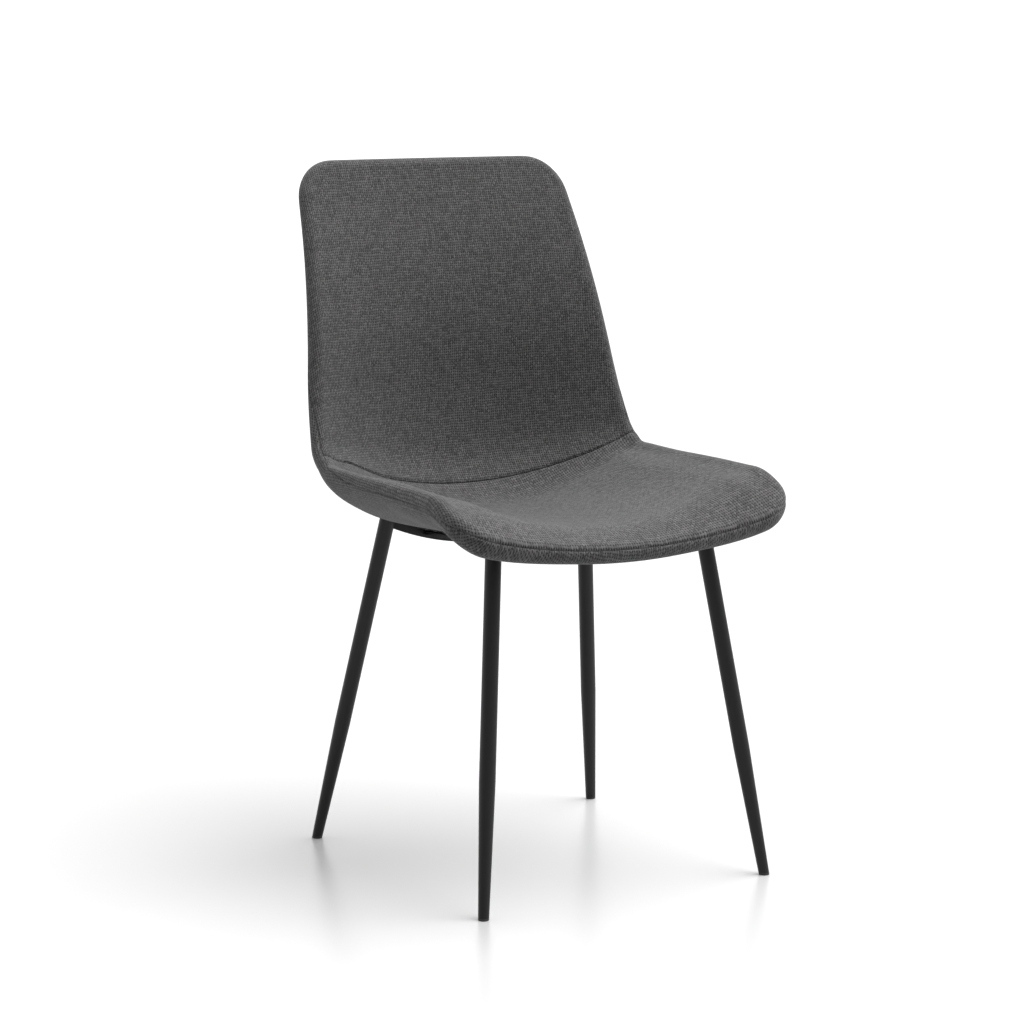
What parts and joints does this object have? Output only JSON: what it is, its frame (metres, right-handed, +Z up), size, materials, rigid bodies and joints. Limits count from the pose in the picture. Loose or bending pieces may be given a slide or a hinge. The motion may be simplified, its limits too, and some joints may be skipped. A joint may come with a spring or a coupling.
{
  "type": "dining chair",
  "caption": "Armless dining chair: one-piece upholstered bucket shell in dark grey woven fabric on splayed, tapered round metal legs.",
  "frame": {"origin": "on the floor, under the middle of the chair's box", "axes": "+Z up; the chair faces -Y; its own left is +X"},
  "size_m": [0.472, 0.5483, 0.875],
  "materials": {
    "upholstery": "matte coarse plain weave, charcoal grey melange",
    "powder_coat": "satin black powder coat",
    "glide_plastic": "moulded, matte",
    "dust_cover": "black spun-bonded cloth",
    "plywood": "raw moulded plywood",
    "foam": "polyurethane foam",
    "wadding": "polyester wadding",
    "spacer_rubber": "matte",
    "black_steel": "black oxide",
    "zinc_steel": "zinc plated"
  },
  "bodies": {
    "root": {"plywood_shell": "plywood", "seat_foam": "foam", "back_foam": "foam", "edge_foam": "foam", "outer_wadding": "wadding", "seat_cover": "upholstery", "back_cover": "upholstery", "outer_cover": "upholstery", "dust_cover": "dust_cover", "front_left_leg": "powder_coat", "front_right_leg": "powder_coat", "rear_left_leg": "powder_coat", "rear_right_leg": "powder_coat", "front_cross_plate": "powder_coat", "rear_cross_plate": "powder_coat", "left_mounting_bar": "powder_coat", "right_mounting_bar": "powder_coat", "front_left_glide": "glide_plastic", "front_right_glide": "glide_plastic", "rear_left_glide": "glide_plastic", "rear_right_glide": "glide_plastic", "front_left_leg_cap": "glide_plastic", "front_right_leg_cap": "glide_plastic", "rear_left_leg_cap": "glide_plastic", "rear_right_leg_cap": "glide_plastic", "rubber_spacers": "spacer_rubber", "mounting_bolts": "black_steel", "flat_washers": "zinc_steel", "spring_washers": "zinc_steel", "tee_nuts": "zinc_steel"}
  },
  "joints": []
}
